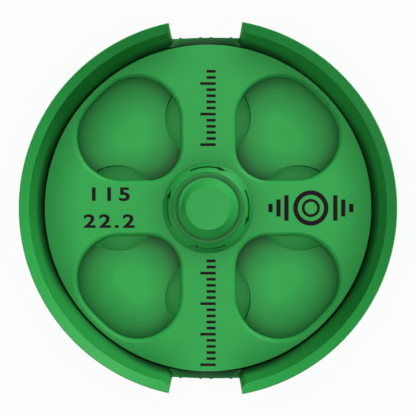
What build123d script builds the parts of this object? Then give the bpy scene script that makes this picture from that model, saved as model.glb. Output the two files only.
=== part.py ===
from build123d import *
import os
from math import atan2, cos, degrees, radians, sin, sqrt

# A holder for 115 mm grinding discs: an open tub with two finger slots, a screw post up its
# middle, and a clamping lid that winds down the post onto the stack, with a loose pressure
# plate under it. Millimetres, +Z up, origin at the centre of the underside.

# The discs that it holds, which also give the lid its size
disc_diameter = 115.0

# Tub
lid_gap = 0.5                  # radial room between the lid and the wall
wall_thickness = 2.8
floor_thickness = 4.0
wall_above_lid = 24.2          # rim over the lid's top, with the lid right down
foot_chamfer = 1.0
floor_chamfer = 0.8            # between the floor and the wall
rim_edge = 0.3                 # softening of the rim's outer edge
slot_width = 23.6
slot_offset = -0.8             # both slots sit a little to one side
slot_dip = 4.0                 # how far the slot's curved bottom sags between its corners
slot_fillet = 2.6              # round on the slot's upright inside edges, nearly the whole wall

# Ribs on the outside, where a thumb and a finger close on the tub
rib_offsets = (-8.95, -1.85, 1.85, 8.95)
rib_width = 1.5
rib_proud = 0.5
rib_bottom = 4.0
rib_below_slot = 1.0

# Screw post, with a hexagonal head let into the tub's underside
post_radius = 10.5             # passes through the 22.2 mm bore of the discs
post_below_rim = 15.0
post_chamfer = 3.0
post_play = 0.1                # radial room of the bush that runs on it
head_across_flats = 30.0
head_thickness = 2.2
head_gap = 0.15

# Pressure plate
plate_radius = 57.0
plate_thickness = 2.6
plate_play = 0.1
plate_edge = 0.4

# Lid
lid_thickness = 14.0
lid_edge = 0.4
lid_foot = 0.4
pocket_depth = 8.0
pocket_from_axis = 9.8         # straight sides of the pockets, which leave the four spokes
pocket_reach = 55.0            # outer arc of the pockets, from the lid's axis
pocket_inner_corner = 11.5
pocket_outer_corner = 15.2
pocket_lip = 1.6               # radius of the rolled lip round each pocket
lip_steps = 3                  # flat steps that the lip's round is cut in
window_radius = 15.5           # round finger windows cut up under the spokes
window_from_axis = 33.0
window_height = 9.0
boss_base_radius = 15.9
boss_top_radius = 12.9
boss_height = 3.0
quarters = 4                   # pockets, spokes and windows

# Threaded bush
bush_radius = 12.5
bush_lip_radius = 14.0
bush_lip_thickness = 1.1
bush_floor_gap = 0.2
bush_chamfer = 0.4

# Levels and radii worked out from the sizes above
lid_radius = disc_diameter / 2
inner_radius = lid_radius + lid_gap
outer_radius = inner_radius + wall_thickness
lid_bottom = floor_thickness + plate_thickness
lid_top = lid_bottom + lid_thickness
rim_height = lid_top + wall_above_lid
pocket_floor = lid_top - pocket_depth
boss_top = lid_top + boss_height
post_top = rim_height - post_below_rim
bush_bottom = floor_thickness + bush_floor_gap
step_radius = bush_lip_radius + plate_play
step_top = bush_bottom + bush_lip_thickness + plate_play
above_all = rim_height + 5     # where cutters end


def disc(radius, bottom, top):
    # a plain cylinder between two levels
    return Pos(0, 0, bottom) * extrude(Circle(radius), top - bottom)


def turned(*outline):
    # a solid turned about the Z axis from pairs of radius and height
    return revolve(make_face(Plane.XZ * Polyline(*outline, close=True)), Axis.Z)


def distance_from_axis(edge):
    middle = edge @ 0.5
    return Vector(middle.X, middle.Y).length


def edges_at(part, level, nearest, furthest):
    # the edges that lie flat at a level, inside a band of distances from the Z axis
    flat = part.edges().filter_by_position(Axis.Z, level - 0.01, level + 0.01)
    return flat.filter_by(lambda edge: nearest < distance_from_axis(edge) < furthest)


def tub_shell():
    # floor, wall, and a rim that slopes inwards over the wall's whole thickness
    return turned(
        (0, 0),
        (outer_radius - foot_chamfer, 0),
        (outer_radius, foot_chamfer),
        (outer_radius, rim_height - rim_edge),
        (outer_radius - rim_edge, rim_height),
        (inner_radius, rim_height - wall_thickness + rim_edge),
        (inner_radius, floor_thickness + floor_chamfer),
        (inner_radius - floor_chamfer, floor_thickness),
        (0, floor_thickness),
    )


def slot_cutter():
    # one bar through both walls, with upright sides and a dished bottom
    left = slot_offset - slot_width / 2
    right = slot_offset + slot_width / 2
    bottom = ThreePointArc((left, lid_top), (slot_offset, lid_top - slot_dip), (right, lid_top))
    sides = Polyline((right, lid_top), (right, above_all), (left, above_all), (left, lid_top))
    face = make_face(Plane.XZ * (Curve() + [bottom, sides]))
    return extrude(face, outer_radius + rib_width, both=True)


def slot_bottom(offset):
    # height of the slot's dished bottom, at a distance from the slot's middle
    arc_radius = (slot_width**2 / 4 + slot_dip**2) / (2 * slot_dip)
    return lid_top - slot_dip + arc_radius - sqrt(arc_radius**2 - offset**2)


def grip_ribs():
    # upright half-round ribs, each ending just under the slot's edge
    ribs = []
    for side in (-1, 1):
        for offset in rib_offsets:
            x = slot_offset + offset
            y = side * (sqrt(outer_radius**2 - x**2) + rib_proud - rib_width / 2)
            height = slot_bottom(offset) - rib_below_slot - rib_bottom
            rib = Pos(x, y, rib_bottom) * extrude(Circle(rib_width / 2), height)
            ribs.append(rib)
    return ribs


def make_tub():
    shell = tub_shell() - slot_cutter()
    upright = shell.edges().filter_by(Axis.Z)
    inside = upright.filter_by(lambda edge: abs(distance_from_axis(edge) - inner_radius) < 0.05)
    shell = fillet(inside, slot_fillet)
    recess = extrude(RegularPolygon(head_across_flats / 2 + head_gap, 6, major_radius=False), head_thickness)
    return shell + grip_ribs() - recess - disc(post_radius, 0, floor_thickness)


def make_post():
    head = extrude(RegularPolygon(head_across_flats / 2, 6, major_radius=False), head_thickness)
    shank = disc(post_radius, 0, post_top)
    shank = chamfer(edges_at(shank, post_top, 0, 2 * post_radius), post_chamfer)
    return head + shank


def make_plate():
    # a flat ring, stepped underneath to take the bush's lip
    plate = disc(plate_radius, floor_thickness, lid_bottom)
    plate = chamfer(plate.edges().filter_by(GeomType.CIRCLE), plate_edge)
    bore = disc(bush_radius + plate_play, floor_thickness, lid_bottom)
    step = disc(step_radius, floor_thickness, step_top)
    return plate - bore - step


def pocket_outline():
    # a quarter of the lid's top between two spokes, with large corners
    far = sqrt(pocket_reach**2 - pocket_from_axis**2)
    middle = pocket_reach / sqrt(2)
    near_corner = (pocket_from_axis, pocket_from_axis)
    right_corner = (far, pocket_from_axis)
    left_corner = (pocket_from_axis, far)
    arc = ThreePointArc(right_corner, (middle, middle), left_corner)
    outline = Sketch() + make_face([Line(near_corner, right_corner), arc, Line(left_corner, near_corner)])
    outline = fillet(outline.vertices().sort_by_distance((0, 0, 0))[0], pocket_inner_corner)
    far_corners = outline.vertices().sort_by_distance((0, 0, 0))[-2:]
    return fillet(far_corners, pocket_outer_corner)


def pocket_cutter():
    # the pocket with its lip: slopes between points spaced evenly on a quarter circle
    outline = pocket_outline()
    cutter = Pos(0, 0, pocket_floor) * extrude(outline, pocket_depth)
    for step in range(lip_steps):
        turn = radians(90 * step / lip_steps)
        next_turn = radians(90 * (step + 1) / lip_steps)
        widening = pocket_lip * (1 - cos(turn))
        next_widening = pocket_lip * (1 - cos(next_turn))
        rise = pocket_lip * (sin(next_turn) - sin(turn))
        level = lid_top - pocket_lip * (1 - sin(turn))
        slope = degrees(atan2(next_widening - widening, rise))
        base = offset(outline, widening) if step > 0 else outline
        cutter += extrude(Pos(0, 0, level) * base, rise, taper=-slope)
    return cutter


def make_lid():
    lid = disc(lid_radius, lid_bottom, lid_top)
    lid = chamfer(edges_at(lid, lid_top, lid_radius - 0.1, lid_radius + 0.1), lid_edge)
    lid = chamfer(edges_at(lid, lid_bottom, lid_radius - 0.1, lid_radius + 0.1), lid_foot)
    pocket = pocket_cutter()
    for quarter in range(quarters):
        lid -= Rot(0, 0, quarter * 360 / quarters) * pocket
    window = Pos(window_from_axis, 0, 0) * disc(window_radius, lid_bottom, lid_bottom + window_height)
    for quarter in range(quarters):
        lid -= Rot(0, 0, quarter * 360 / quarters) * window
    boss = turned((0, lid_top), (boss_base_radius, lid_top), (boss_top_radius, boss_top), (0, boss_top))
    return lid + boss - disc(bush_radius, lid_bottom, boss_top)


def make_bush():
    # bonded into the lid's boss; its lip carries the pressure plate
    bore = post_radius + post_play
    return turned(
        (bore, bush_bottom),
        (bush_lip_radius, bush_bottom),
        (bush_lip_radius, bush_bottom + bush_lip_thickness),
        (bush_radius, bush_bottom + bush_lip_thickness),
        (bush_radius, boss_top - bush_chamfer),
        (bush_radius - bush_chamfer, boss_top),
        (bore, boss_top),
    )


def write_parts():
    os.makedirs("parts", exist_ok=True)
    pieces = {
        "tub": make_tub(),
        "centre_post": make_post(),
        "pressure_plate": make_plate(),
        "lid": make_lid(),
        "threaded_bush": make_bush(),
    }
    for name, piece in pieces.items():
        solid = piece.solids()[0] if len(piece.solids()) == 1 else piece
        export_step(solid, f"parts/{name}.step")
        print(name, "volume", round(piece.volume), "mm3, solids", len(piece.solids()))


write_parts()
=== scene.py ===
import bpy
import bmesh
from math import cos, hypot, pi, radians, sin, sqrt, tan
from mathutils import Matrix, Vector


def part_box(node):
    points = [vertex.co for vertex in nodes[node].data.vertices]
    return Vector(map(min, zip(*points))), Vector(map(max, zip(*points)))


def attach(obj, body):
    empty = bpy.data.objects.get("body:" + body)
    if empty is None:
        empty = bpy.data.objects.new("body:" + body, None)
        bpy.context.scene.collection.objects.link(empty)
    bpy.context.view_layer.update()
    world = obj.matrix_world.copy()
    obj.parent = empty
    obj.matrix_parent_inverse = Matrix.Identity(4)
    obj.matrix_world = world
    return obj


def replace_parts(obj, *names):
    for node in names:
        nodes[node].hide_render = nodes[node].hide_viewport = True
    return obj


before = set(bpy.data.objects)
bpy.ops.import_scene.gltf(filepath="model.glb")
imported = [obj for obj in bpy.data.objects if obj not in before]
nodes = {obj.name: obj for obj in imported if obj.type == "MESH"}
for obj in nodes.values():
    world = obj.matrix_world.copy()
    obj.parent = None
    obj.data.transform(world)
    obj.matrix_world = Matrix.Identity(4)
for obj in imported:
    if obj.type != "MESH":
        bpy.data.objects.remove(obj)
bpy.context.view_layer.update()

# A holder for grinding discs in green printed plastic: open tub, screw post, clamping lid.
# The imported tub, plate and lid keep their shapes; the screw threads, the engraved arrows and
# the dark inlays are made here. Metres throughout, lengths written as millimetres times mm.

mm = 0.001
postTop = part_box("centre_post")[1].z
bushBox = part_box("threaded_bush")
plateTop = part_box("pressure_plate")[1].z
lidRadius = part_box("lid")[1].x
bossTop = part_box("lid")[1].z
print("frame loaded:", ", ".join(sorted(nodes)))

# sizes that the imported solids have
packed = {
    "bossHeight": 3.0 * mm,        # from the lid's top to the boss's
    "bossBase": 15.9 * mm,         # radius of the boss's foot; its side slopes at 45 degrees
    "bossTop": 12.9 * mm,          # radius of its upper edge
    "lidEdge": 0.4 * mm,           # chamfer of the lid's upper edge
    "bushGap": 0.2 * mm,           # between the tub's floor and the bush
    "slack": 0.05 * mm,            # a point this near to a level or a radius is on it
}
lidTop = bossTop - packed["bossHeight"]
floorLevel = bushBox[0].z - packed["bushGap"]


def isNear(value, target):
    return abs(value - target) < packed["slack"]


class Signal:
    # one socket of a shader, so that sums and products of sockets read as plain Python

    def __init__(self, finish, socket):
        self.finish = finish
        self.socket = socket

    def combine(self, operation, first, second):
        return self.finish.add("ShaderNodeMath", {"operation": operation}, {0: first, 1: second})

    def __add__(self, other):
        return self.combine("ADD", self, other)

    def __radd__(self, other):
        return self.combine("ADD", other, self)

    def __sub__(self, other):
        return self.combine("SUBTRACT", self, other)

    def __rsub__(self, other):
        return self.combine("SUBTRACT", other, self)

    def __mul__(self, other):
        return self.combine("MULTIPLY", self, other)

    def __rmul__(self, other):
        return self.combine("MULTIPLY", other, self)

    def __pow__(self, other):
        return self.combine("POWER", self, other)


class Finish:
    # a material or world under construction: add() makes any node and returns its output

    def __init__(self, owner):
        owner.use_nodes = True
        self.owner = owner
        self.tree = owner.node_tree
        self.tree.nodes.clear()

    def add(self, kind, settings=None, values=None, output=0):
        node = self.tree.nodes.new(kind)
        for key, value in (settings or {}).items():
            if key == "stops":
                for stop, (place, shade) in zip(node.color_ramp.elements, value):
                    stop.position = place
                    stop.color = (shade, shade, shade, 1)
            else:
                setattr(node, key, value)
        for key, value in (values or {}).items():
            if isinstance(value, Signal):
                self.tree.links.new(value.socket, node.inputs[key])
            else:
                node.inputs[key].default_value = value
        return Signal(self, node.outputs[output]) if len(node.outputs) > 0 else node


# the printed plastic, green for the holder and nearly black for the inlays
plastic = {
    "green": (0.028, 0.368, 0.070, 1),
    "darkGreen": (0.024, 0.340, 0.062, 1),
    "inkTone": (0.010, 0.0025, 0.008, 1),
    "inkToneLight": (0.014, 0.0040, 0.011, 1),
    "roughness": 0.52,
    "roughnessSpread": 0.10,
    "specular": 0.24,
    "inkSpecular": 0.08,
    "refraction": 1.46,
    "layerHeight": 0.28 * mm,      # height of one printed layer
    "layerDepth": 0.012 * mm,
    "bandSpacing": 2.4 * mm,       # slow drift of tone from layer to layer
    "bandSqueeze": 0.15,           # bands run this much slower sideways
    "bandShare": 0.7,              # of the tone; the speckle has the rest
    "toneStops": ((0.3, 0.0), (0.7, 1.0)),
    "speckleSize": 1.1 * mm,
    "speckleDepth": 0.010 * mm,
    "paintedShadeReach": 13 * mm,        # painted shade darkens the colour within this distance of a wall
    "paintedShadeRays": 8,
    "hubRadius": 16 * mm,          # from here out to the lid's edge, the pairs below change over
}

# how strongly painted shade darkens a piece in its own hollows and beside its neighbours, the
# height from which neighbours count, and their share; a pair is a value at the hub and one at the
# wall
paintedShadeStrengths = {
    "tub": {"own": 1.4, "beside": 6.0, "from": lidTop - 5 * mm, "share": 1.0},
    "plate": {"own": 1.6, "beside": 1.6, "from": plateTop - 0.2 * mm, "share": 0.3},
    "lid": {
        "own": (2.3, 0.8),
        "beside": (2.7, 0.8),
        "from": lidTop - 0.7 * mm,
        "share": (1.0, 0.35),
    },
    "groove": {"own": 1.25, "beside": 1.25, "from": lidTop, "share": 0.3},
    "post": {"own": 0.5, "beside": 0.5, "from": bossTop - 1 * mm, "share": 0.6},
    "bush": {"own": 2.2, "beside": 2.2, "from": bossTop - 1 * mm, "share": 1.0},
    "inlay": {"own": 1.0, "beside": 1.0, "from": lidTop, "share": 0.45},
}


def openness(finish, ownOnly):
    # 1 in the open, falling towards 0 in each hollow, of the piece itself or of its neighbours too;
    # used as painted shade
    return finish.add(
        "ShaderNodeAmbientOcclusion",
        {"samples": plastic["paintedShadeRays"], "only_local": ownOnly},
        {"Distance": plastic["paintedShadeReach"]},
        output=1,
    )


def outwards(finish, level):
    # a pair becomes a number that changes from the hub to the wall, and a number stays as it is
    if not isinstance(level, tuple):
        return level
    place = finish.add("ShaderNodeTexCoord", output=3)
    x = finish.add("ShaderNodeSeparateXYZ", values={0: place}, output=0)
    y = finish.add("ShaderNodeSeparateXYZ", values={0: place}, output=1)
    return finish.add(
        "ShaderNodeMapRange",
        values={
            "Value": (x * x + y * y) ** 0.5,
            "From Min": plastic["hubRadius"],
            "From Max": lidRadius,
            "To Min": level[0],
            "To Max": level[1],
        },
    )


def printedPlastic(name, piece, light, dark, specular):
    # tone drifting from layer to layer, fine layers and speckle in relief, and painted shade in its
    # hollows and beside its neighbours
    corner = paintedShadeStrengths[piece]
    finish = Finish(bpy.data.materials.new(name))
    place = finish.add("ShaderNodeTexCoord", output=3)
    height = finish.add("ShaderNodeSeparateXYZ", values={0: place}, output=2)
    squeeze = plastic["bandSqueeze"]
    stretched = finish.add(
        "ShaderNodeMapping",
        {"vector_type": "POINT"},
        {"Vector": place, "Scale": (squeeze, squeeze, 1)},
    )
    bands = finish.add(
        "ShaderNodeTexNoise",
        {"noise_dimensions": "3D"},
        {"Vector": stretched, "Scale": 1 / plastic["bandSpacing"], "Detail": 3.0},
    )
    speckle = finish.add(
        "ShaderNodeTexNoise",
        {"noise_dimensions": "3D"},
        {"Vector": place, "Scale": 1 / plastic["speckleSize"], "Detail": 2.0},
    )
    tone = finish.add(
        "ShaderNodeValToRGB",
        {"stops": plastic["toneStops"]},
        {"Fac": bands * plastic["bandShare"] + speckle * (1 - plastic["bandShare"])},
    )
    colour = finish.add(
        "ShaderNodeMix",
        {"data_type": "RGBA"},
        {0: tone, 6: dark, 7: light},
        output=2,
    )
    # painted shade: the occlusion of the piece and of its neighbours, raised to these strengths
    own = openness(finish, True) ** outwards(finish, corner["own"])
    high = height.combine("GREATER_THAN", height, corner["from"])
    beside = 1 - (1 - openness(finish, False)) * high * outwards(finish, corner["share"])
    clear = own.combine("MINIMUM", own, beside ** outwards(finish, corner["beside"]))
    # the painted shade is multiplied into the base colour
    paintedShadeColour = finish.add(
        "ShaderNodeMix",
        {"data_type": "RGBA", "blend_type": "MULTIPLY"},
        {0: 1.0, 6: colour, 7: clear},
        output=2,
    )
    wave = finish.add(
        "ShaderNodeMath",
        {"operation": "SINE"},
        {0: height * (2 * pi / plastic["layerHeight"])},
    )
    relief = wave * (plastic["layerDepth"] / 2) + speckle * plastic["speckleDepth"]
    bump = finish.add("ShaderNodeBump", values={"Height": relief, "Strength": 1.0, "Distance": 1.0})
    rough = plastic["roughness"] + (speckle - 0.5) * plastic["roughnessSpread"]
    shader = finish.add(
        "ShaderNodeBsdfPrincipled",
        values={
            "Base Color": paintedShadeColour,
            "Roughness": rough,
            "Normal": bump,
            "IOR": plastic["refraction"],
            "Specular IOR Level": specular,
        },
    )
    finish.add("ShaderNodeOutputMaterial", values={"Surface": shader})
    return finish.owner


green = (plastic["green"], plastic["darkGreen"], plastic["specular"])
ink = (plastic["inkToneLight"], plastic["inkTone"], plastic["inkSpecular"])
# each piece gets its own copy of the same green, differing only in the strength of its painted
# shade
tubPlastic = printedPlastic("satinGreenTub", "tub", *green)
platePlastic = printedPlastic("satinGreenPlate", "plate", *green)
lidPlastic = printedPlastic("satinGreenLid", "lid", *green)
grooveWeakShadePlastic = printedPlastic("satinGreenGroove", "groove", *green)
postPlastic = printedPlastic("satinGreenPost", "post", *green)
bushPlastic = printedPlastic("satinGreenBush", "bush", *green)
inlayPlastic = printedPlastic("satinDarkInlay", "inlay", *ink)
keptNodes = {"tub": tubPlastic, "pressure_plate": platePlastic, "lid": lidPlastic}
for nodeName, nodeFinish in keptNodes.items():
    for materialSlot in nodes[nodeName].material_slots:
        materialSlot.material = nodeFinish
print("plastic finishes made")


def meshFrom(name, bm):
    # a merged mesh with its faces turned outwards
    bmesh.ops.remove_doubles(bm, verts=bm.verts, dist=0.002 * mm)
    bmesh.ops.recalc_face_normals(bm, faces=bm.faces)
    mesh = bpy.data.meshes.new(name)
    bm.to_mesh(mesh)
    bm.free()
    if "custom_normal" in mesh.attributes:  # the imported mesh's normals don't fit a merged copy
        mesh.attributes.remove(mesh.attributes["custom_normal"])
    return mesh


def linked(name, mesh):
    # an object in the scene
    piece = bpy.data.objects.new(name, mesh)
    bpy.context.scene.collection.objects.link(piece)
    return piece


def dressed(piece, material, body, crease=30):
    # shading, a material unless the mesh has its own, and the body that carries the piece
    mesh = piece.data
    if len(mesh.materials) == 0:
        mesh.materials.append(material)
    mesh.shade_smooth()
    mesh.set_sharp_from_angle(angle=radians(crease))
    shading = piece.modifiers.new("flatsStayFlat", "WEIGHTED_NORMAL")
    shading.keep_sharp = True
    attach(piece, body)
    return piece


def cutBy(piece, cutter):
    # takes the cutter's volume out of the piece, and removes the cutter
    tool = piece.modifiers.new("cut", "BOOLEAN")
    tool.operation = "DIFFERENCE"
    tool.solver = "EXACT"
    tool.use_self = True
    tool.object = cutter
    bpy.context.view_layer.update()
    solid = piece.evaluated_get(bpy.context.evaluated_depsgraph_get())
    carved = bpy.data.meshes.new_from_object(solid)
    piece.modifiers.clear()
    piece.data = carved
    bpy.data.objects.remove(cutter)


def drawOutline(bm, outline):
    # a run of radius and height pairs, ready to be spun about the axis
    points = [bm.verts.new((r, 0, z)) for r, z in outline]
    return [bm.edges.new(pair) for pair in zip(points, points[1:])]


# screw thread, shared by the post and the bush
thread = {
    "radius": 10.5 * mm,
    "lead": 6.0 * mm,              # climb in one turn, right-handed
    "depth": 1.35 * mm,
    "flank": 0.55 * mm,            # height of one sloping side of the groove
    "root": 0.85 * mm,             # width of the groove's floor
    "landCuts": 13,                # divisions of the land and of each side of the groove
    "flankCuts": 3,
    "stepsPerTurn": 72,
    "play": 0.12 * mm,             # room between the post's thread and the bush's
    "entryAngle": 194,             # where the groove breaks through the post's chamfer, degrees
    "chamfer": 3.0 * mm,
    "runOutFrom": 0.5 * mm,        # height over the tub's floor where the groove begins
    "runOut": 2.5 * mm,            # and the height in which it reaches its depth
}


def threadedRod(name, bottom, top, play, chamfered):
    # a rod with one helical groove, grown all round by the play
    radius = thread["radius"] + play
    core = radius - thread["depth"]
    land = thread["lead"] - 2 * thread["flank"] - thread["root"]
    entry = postTop - thread["chamfer"] + thread["depth"]
    phase = entry - land - thread["flank"] - thread["lead"] * thread["entryAngle"] / 360
    spareTurns = 3  # cut off again at both ends
    turnsBelow = int((phase - bottom) / thread["lead"]) + spareTurns
    lowest = phase - turnsBelow * thread["lead"]
    turns = int((top - lowest) / thread["lead"]) + spareTurns
    outline = [
        (radius, lowest),
        (radius, lowest + land),
        (core, lowest + land + thread["flank"]),
        (core, lowest + land + thread["flank"] + thread["root"]),
        (radius, lowest + thread["lead"]),
    ]
    bm = bmesh.new()
    sides = drawOutline(bm, outline)
    bmesh.ops.subdivide_edges(bm, edges=sides[:1], cuts=thread["landCuts"])
    bmesh.ops.subdivide_edges(bm, edges=[sides[1], sides[3]], cuts=thread["flankCuts"])
    bmesh.ops.spin(
        bm,
        geom=bm.verts[:] + bm.edges[:],
        cent=(0, 0, 0),
        axis=(0, 0, 1),
        dvec=(0, 0, thread["lead"] / thread["stepsPerTurn"]),
        angle=2 * pi * turns,
        steps=thread["stepsPerTurn"] * turns,
        use_merge=False,
        use_duplicate=False,
    )
    bmesh.ops.remove_doubles(bm, verts=bm.verts, dist=0.002 * mm)
    for level, up in ((bottom, -1), (top, 1)):
        bmesh.ops.bisect_plane(
            bm,
            geom=bm.verts[:] + bm.edges[:] + bm.faces[:],
            plane_co=(0, 0, level),
            plane_no=(0, 0, up),
            clear_outer=True,
        )
    for point in bm.verts:
        reach = hypot(point.co.x, point.co.y)
        wanted = reach
        if chamfered:
            fade = (point.co.z - floorLevel - thread["runOutFrom"]) / thread["runOut"]
            wanted = radius + (reach - radius) * min(max(fade, 0), 1)
            wanted = min(wanted, radius - max(0, point.co.z - top + thread["chamfer"]))
        point.co.x *= wanted / reach
        point.co.y *= wanted / reach
    rims = [edge for edge in bm.edges if edge.is_boundary]
    bmesh.ops.holes_fill(bm, edges=rims, sides=0)
    return meshFrom(name, bm)


# the post's hexagonal head, which sits in the tub's underside
head = {"acrossFlats": 30.0 * mm, "thickness": 2.2 * mm, "bevel": 0.3 * mm}


def makePost():
    rod = threadedRod("threadedPost", head["thickness"], postTop, 0, True)
    cornerRadius = head["acrossFlats"] / 2 / cos(pi / 6)
    place = Matrix.Translation((0, 0, head["thickness"] / 2)) @ Matrix.Rotation(pi / 6, 4, "Z")
    bm = bmesh.new()
    bmesh.ops.create_cone(
        bm,
        cap_ends=True,
        segments=6,
        radius1=cornerRadius,
        radius2=cornerRadius,
        depth=head["thickness"],
        matrix=place,
    )
    bmesh.ops.bevel(
        bm,
        geom=bm.edges[:],
        affect="EDGES",
        offset=head["bevel"],
        segments=2,
        profile=0.5,
        material=-1,
    )
    bm.from_mesh(rod)
    post = linked("threadedPost", meshFrom("threadedPost", bm))
    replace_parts(dressed(post, postPlastic, "holder"), "centre_post")


# the ring bonded into the lid's boss, cut with the post's thread and a little play
bush = {
    "radius": 12.5 * mm,
    "lipRadius": 14.0 * mm,
    "lip": 1.1 * mm,
    "bevel": 0.15 * mm,
    "bore": 6.0 * mm,              # before the thread is cut
    "overshoot": 2 * mm,           # how far the thread's cutter stands out at both ends
    "steps": 128,
}


def makeBush():
    low = bushBox[0].z
    high = bushBox[1].z
    outline = [
        (bush["bore"], low),
        (bush["lipRadius"], low),
        (bush["lipRadius"], low + bush["lip"]),
        (bush["radius"], low + bush["lip"]),
        (bush["radius"], high - bush["bevel"]),
        (bush["radius"] - bush["bevel"], high),
        (bush["bore"], high),
        (bush["bore"], low),
    ]
    bm = bmesh.new()
    drawOutline(bm, outline)
    bmesh.ops.spin(
        bm,
        geom=bm.verts[:] + bm.edges[:],
        cent=(0, 0, 0),
        axis=(0, 0, 1),
        angle=2 * pi,
        steps=bush["steps"],
        use_merge=True,
        use_duplicate=False,
    )
    ring = linked("threadedBush", meshFrom("threadedBush", bm))
    past = bush["overshoot"]
    rod = threadedRod("tap", low - past, high + past, thread["play"], False)
    cutBy(ring, linked("tap", rod))
    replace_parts(dressed(ring, bushPlastic, "lid"), "threaded_bush")


makePost()
makeBush()
print("threads cut")


# four arrows engraved in the lid's boss, clockwise
arrow = {
    "radius": 14.35 * mm,          # the arrows' middle line, on the boss's slope
    "halfSpan": 25.5,              # degrees from an arrow's middle to its ends
    "width": 0.95 * mm,
    "depth": 0.55 * mm,
    "headWidth": 2.2 * mm,
    "headDepth": 1.1 * mm,
    "headAngle": 11,
    "headOverlap": 0.5,            # degrees by which head and shaft overlap
    "tipTaper": 0.92,              # how much narrower the head is at its tip
    "shaftSteps": 10,
    "count": 4,
}


def arrowStroke(bm, halfWidth, depth, startAngle, endAngle, steps, taper):
    # a strip across the boss's slope, spun round the axis, narrowing to a point if it tapers
    slope = Vector((1, 0, -1)).normalized()
    square = Vector((1, 0, 1)).normalized()
    middle = Vector((arrow["radius"], 0, lidTop + packed["bossBase"] - arrow["radius"]))
    ends = []
    for along, out in ((-1, -depth), (1, -depth), (1, depth), (-1, depth)):
        ends.append(bm.verts.new(middle + slope * halfWidth * along + square * out))
    section = bm.faces.new(ends)
    turn = Matrix.Rotation(startAngle, 3, "Z")
    bmesh.ops.rotate(bm, verts=ends, cent=(0, 0, 0), matrix=turn)
    made = bmesh.ops.spin(
        bm,
        geom=[section],
        cent=(0, 0, 0),
        axis=(0, 0, 1),
        angle=endAngle - startAngle,
        steps=steps,
        use_merge=False,
        use_duplicate=False,
    )
    if taper:
        tip = [item for item in made["geom_last"] if isinstance(item, bmesh.types.BMVert)]
        centre = sum((point.co for point in tip), Vector()) / len(tip)
        tipSlope = Matrix.Rotation(endAngle, 3, "Z") @ slope
        for point in tip:
            away = (point.co - centre).dot(tipSlope)
            point.co -= tipSlope * away * arrow["tipTaper"]


# the lid's upper edge is nearly sharp, and the boss's top closes up to the bush
edges = {"lidEdge": 0.1 * mm, "bossTop": 12.56 * mm}


def sharpenEdges(bm):
    for point in bm.verts:
        reach = hypot(point.co.x, point.co.y)
        wanted = reach
        if isNear(point.co.z, lidTop) and isNear(reach, lidRadius - packed["lidEdge"]):
            wanted = lidRadius - edges["lidEdge"]
        elif isNear(point.co.z, lidTop - packed["lidEdge"]) and isNear(reach, lidRadius):
            point.co.z = lidTop - edges["lidEdge"]
        elif isNear(point.co.z, bossTop) and isNear(reach, packed["bossTop"]):
            wanted = edges["bossTop"]
        point.co.x *= wanted / reach
        point.co.y *= wanted / reach


# the pockets' outer walls lean out a little towards their floors, so that from above the floor
# runs right up to the lip
pocket = {
    "lean": 1.2 * mm,
    "floor": lidTop - 8.0 * mm,
    "reach": 55.0 * mm,            # outer arc, from the axis
    "corner": 15.2 * mm,
    "spokeEdge": 9.8 * mm,
}


def leanWalls(bm):
    # every pocket is looked at as if it lay along the X axis, on its positive side
    side = pocket["spokeEdge"] + pocket["corner"]
    along = sqrt((pocket["reach"] - pocket["corner"]) ** 2 - side**2)
    for point in bm.verts:
        if not isNear(point.co.z, pocket["floor"]):
            continue
        near, far = sorted((abs(point.co.x), abs(point.co.y)))
        spot = Vector((far, near))
        inCorner = near / far < side / along
        centre = Vector((along, side)) if inCorner else Vector((0, 0))
        away = spot - centre
        if isNear(away.length, pocket["corner"] if inCorner else pocket["reach"]):
            away.normalize()
            spot += away * pocket["lean"] * max(0, away.dot(spot.normalized()))
            far, near = spot
            swapped = abs(point.co.x) < abs(point.co.y)
            x, y = (near, far) if swapped else (far, near)
            point.co.x = x if point.co.x > 0 else -x
            point.co.y = y if point.co.y > 0 else -y


def makeLid():
    # the imported lid with these changes, and for the grooves a copy of the green with weaker
    # painted shade
    bm = bmesh.new()
    bm.from_mesh(nodes["lid"].data)
    sharpenEdges(bm)
    leanWalls(bm)
    lid = linked("engravedLid", meshFrom("engravedLid", bm))
    bm = bmesh.new()
    for quarter in range(arrow["count"]):
        middle = quarter * 360 / arrow["count"]
        tail = radians(middle + arrow["halfSpan"])
        neck = radians(middle - arrow["halfSpan"] + arrow["headAngle"])
        headStart = neck + radians(arrow["headOverlap"])
        tip = radians(middle - arrow["halfSpan"])
        steps = arrow["shaftSteps"]
        arrowStroke(bm, arrow["width"] / 2, arrow["depth"], tail, neck, steps, False)
        arrowStroke(bm, arrow["headWidth"] / 2, arrow["headDepth"], headStart, tip, 1, True)
    cutter = linked("arrows", meshFrom("arrows", bm))
    for piece, slot in ((lid, 0), (cutter, 1)):
        piece.data.materials.append(lidPlastic)
        piece.data.materials.append(grooveWeakShadePlastic)
        for face in piece.data.polygons:
            face.material_index = slot
    cutBy(lid, cutter)
    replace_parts(dressed(lid, lidPlastic, "lid", 40), "lid")


makeLid()
print("lid engraved")


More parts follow.
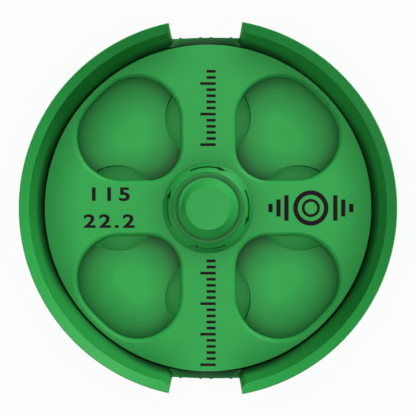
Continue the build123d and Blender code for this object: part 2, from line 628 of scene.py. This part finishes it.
# dark inlays on the four spokes: numbers, two ruler scales and a ring between bars
inlay = {
    "sunk": 0.30 * mm,
    "proud": 0.03 * mm,
    "numberSize": 6.5 * mm,
    "numberWidth": 1.34,           # the figures are stretched sideways
    "numberWeight": 0.16 * mm,     # what the strokes gain all round
    "letterSpacing": 1.24,
    "upperNumber": ("115", -34.8 * mm, 4.6 * mm),
    "lowerNumber": ("22.2", -34.8 * mm, -4.9 * mm),
    "tickWidth": 0.95 * mm,
    "tickSpacing": 2.15 * mm,
    "shortTick": 3.2 * mm,
    "longTick": 5.4 * mm,
    "longEvery": 5,
    "shortScale": (35.2 * mm, 13),  # place of its middle, and number of ticks
    "longScale": (-36.9 * mm, 18),
    "ringPlace": 36.2 * mm,
    "rings": ((2.2 * mm, 3.2 * mm), (4.6 * mm, 6.2 * mm)),
    "ringSegments": 64,
    "barWidth": 1.5 * mm,
    "bars": ((8.6 * mm, 9.0 * mm), (11.4 * mm, 6.0 * mm), (14.2 * mm, 3.0 * mm)),
}
inlayThickness = inlay["sunk"] + inlay["proud"]
inlayMiddle = lidTop + (inlay["proud"] - inlay["sunk"]) / 2


def addBar(bm, x, y, length, width):
    size = Matrix.Diagonal((length, width, inlayThickness, 1))
    bmesh.ops.create_cube(bm, size=1, matrix=Matrix.Translation((x, y, inlayMiddle)) @ size)


def numberMesh(text, x, y):
    letters = bpy.data.curves.new("numbers", "FONT")
    letters.body = text
    letters.size = inlay["numberSize"]
    letters.align_x = "CENTER"
    letters.align_y = "CENTER"
    letters.extrude = inlayThickness / 2
    letters.offset = inlay["numberWeight"]
    letters.space_character = inlay["letterSpacing"]
    holder = linked("numbers", letters)
    bpy.context.view_layer.update()
    flat = holder.evaluated_get(bpy.context.evaluated_depsgraph_get())
    mesh = bpy.data.meshes.new_from_object(flat)
    bpy.data.objects.remove(holder)
    wide = Matrix.Diagonal((inlay["numberWidth"], 1, 1, 1))
    mesh.transform(Matrix.Translation((x, y, inlayMiddle)) @ wide)
    return mesh


def makeNumbers():
    bm = bmesh.new()
    for text, x, y in (inlay["upperNumber"], inlay["lowerNumber"]):
        bm.from_mesh(numberMesh(text, x, y))
    numbers = linked("sizeNumbers", meshFrom("sizeNumbers", bm))
    dressed(numbers, inlayPlastic, "lid")


def makeScale(name):
    # ruler ticks along a spoke, each fifth one long
    middle, count = inlay[name]
    bm = bmesh.new()
    for tick in range(count):
        length = inlay["longTick"] if tick % inlay["longEvery"] == 0 else inlay["shortTick"]
        y = middle + (tick - (count - 1) / 2) * inlay["tickSpacing"]
        addBar(bm, (inlay["longTick"] - length) / 2, y, length, inlay["tickWidth"])
    scale = linked(name, meshFrom(name, bm))
    dressed(scale, inlayPlastic, "lid")


def makeRingMark():
    # two rings between pairs of bars
    bm = bmesh.new()
    count = inlay["ringSegments"]
    for inner, outer in inlay["rings"]:
        made = bmesh.ops.create_circle(bm, segments=count, radius=outer, cap_ends=True)
        ring = made["verts"][0].link_faces[0]
        width = (outer - inner) * cos(pi / count)
        bmesh.ops.inset_individual(bm, faces=[ring], thickness=width)
        bmesh.ops.delete(bm, geom=[ring], context="FACES_ONLY")
    x = inlay["ringPlace"]
    bmesh.ops.translate(bm, verts=bm.verts, vec=(x, 0, lidTop - inlay["sunk"]))
    top = bmesh.ops.extrude_face_region(bm, geom=bm.faces[:])
    moved = [item for item in top["geom"] if isinstance(item, bmesh.types.BMVert)]
    bmesh.ops.translate(bm, verts=moved, vec=(0, 0, inlayThickness))
    for side in (-1, 1):
        for offset, height in inlay["bars"]:
            addBar(bm, x + side * offset, 0, inlay["barWidth"], height)
    mark = linked("ringMark", meshFrom("ringMark", bm))
    dressed(mark, inlayPlastic, "lid")


makeNumbers()
makeScale("shortScale")
makeScale("longScale")
makeRingMark()
print("inlays set")


# pale floor, white surroundings and a soft dome of light
studio = {
    "floorSize": 3.0,
    "floorCells": 8,
    "floorTone": 0.92,
    "floorGlow": 0.80,
    "domeLevel": 2.00,             # light from the soft dome overhead
    "domeEdge": (0.72, 0.95),      # sine of elevation where the dome begins and is full
    "horizonLevel": 0.03,
    "lampSize": 10,                # apparent size of a lamp, in degrees
    "lampDistance": 0.5,
}

# name, azimuth and elevation in degrees, strength
lamps = (
    ("keySun", 55, 27, 2.35),
    ("fillSun", 207, 15, 0.38),
)


def makeFloor():
    bm = bmesh.new()
    cells = studio["floorCells"]
    size = studio["floorSize"] / 2
    bmesh.ops.create_grid(bm, x_segments=cells, y_segments=cells, size=size)
    floor = linked("studioFloor", meshFrom("studioFloor", bm))
    finish = Finish(bpy.data.materials.new("paleFloor"))
    seen = finish.add("ShaderNodeLightPath", output=0)
    tone = studio["floorTone"]
    matte = finish.add("ShaderNodeBsdfDiffuse", values={"Color": (tone, tone, tone, 1)})
    glow = finish.add("ShaderNodeEmission", values={"Color": (1, 1, 1, 1), "Strength": 1.0})
    both = finish.add(
        "ShaderNodeMixShader", values={0: seen * studio["floorGlow"], 1: matte, 2: glow}
    )
    finish.add("ShaderNodeOutputMaterial", values={"Surface": both})
    floor.data.materials.append(finish.owner)


def makeSky():
    world = bpy.data.worlds.new("studioSky")
    bpy.context.scene.world = world
    finish = Finish(world)
    direction = finish.add("ShaderNodeTexCoord", output=0)
    rise = finish.add("ShaderNodeSeparateXYZ", values={0: direction}, output=2)
    dome = finish.add(
        "ShaderNodeMapRange",
        {"interpolation_type": "SMOOTHSTEP"},
        {
            "Value": rise,
            "From Min": studio["domeEdge"][0],
            "From Max": studio["domeEdge"][1],
            "To Min": studio["horizonLevel"],
            "To Max": studio["domeLevel"],
        },
    )
    seen = finish.add("ShaderNodeLightPath", output=0)
    level = seen + (1 - seen) * dome
    sky = finish.add("ShaderNodeBackground", values={"Color": (1, 1, 1, 1), "Strength": level})
    finish.add("ShaderNodeOutputWorld", values={"Surface": sky})


def makeLamps():
    for name, azimuth, elevation, strength in lamps:
        lamp = bpy.data.lights.new(name, "SUN")
        lamp.energy = strength
        lamp.angle = radians(studio["lampSize"])
        lamp.use_shadow = False
        holder = linked(name, lamp)
        flat = cos(radians(elevation))
        towards = Vector((
            flat * cos(radians(azimuth)),
            flat * sin(radians(azimuth)),
            sin(radians(elevation)),
        ))
        holder.rotation_mode = "QUATERNION"
        holder.rotation_quaternion = towards.to_track_quat("Z", "Y")
        holder.location = towards * studio["lampDistance"]


makeFloor()
makeSky()
makeLamps()
print("studio lit")


# camera straight above the post
shot = {"height": 293.8 * mm, "viewAngle": 30, "sensor": 36, "nearest": 0.01}

camera = bpy.data.cameras.new("overheadCamera")
camera.sensor_width = shot["sensor"]
camera.lens = shot["sensor"] / 2 / tan(radians(shot["viewAngle"] / 2))
camera.clip_start = shot["nearest"]
cameraHolder = linked("overheadCamera", camera)
cameraHolder.location = (0, 0, shot["height"])
bpy.context.scene.camera = cameraHolder

bpy.context.scene.view_settings.view_transform = "Standard"
